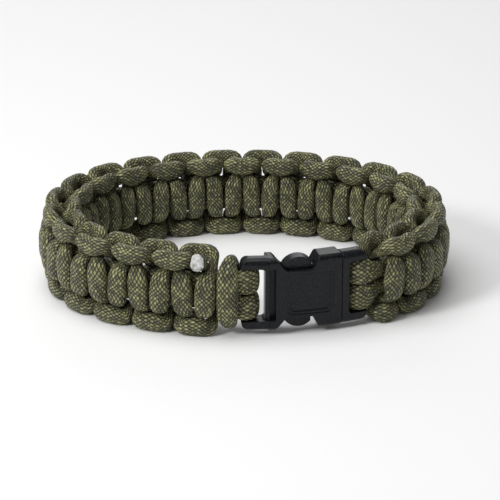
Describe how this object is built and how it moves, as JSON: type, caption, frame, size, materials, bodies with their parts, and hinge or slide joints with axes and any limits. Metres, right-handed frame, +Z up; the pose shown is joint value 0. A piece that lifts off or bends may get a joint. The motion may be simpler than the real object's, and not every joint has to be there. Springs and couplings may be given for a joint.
{
  "type": "paracord bracelet",
  "caption": "Oval wrist band knotted from thick olive cord in cobra stitch, closed by a curved black side release buckle, standing on its lower edge.",
  "frame": {"origin": "on the floor, under the middle of the oval band", "axes": "+Z up along the wrist, +X along the oval's long axis, -Y towards the buckle"},
  "size_m": [0.0842, 0.0648, 0.0175],
  "materials": {
    "cord": "braided nylon sheath, olive drab with pale olive stitches",
    "melted_tip": "melted nylon, off white",
    "buckle": "satin black moulded nylon with a fine grain"
  },
  "bodies": {
    "root": {"core_cord": "cord", "outer_knot_cord": "cord", "inner_knot_cord": "cord", "outer_tip": "melted_tip", "inner_tip": "melted_tip", "buckle_socket": "buckle", "buckle_plug": "buckle"}
  },
  "joints": []
}
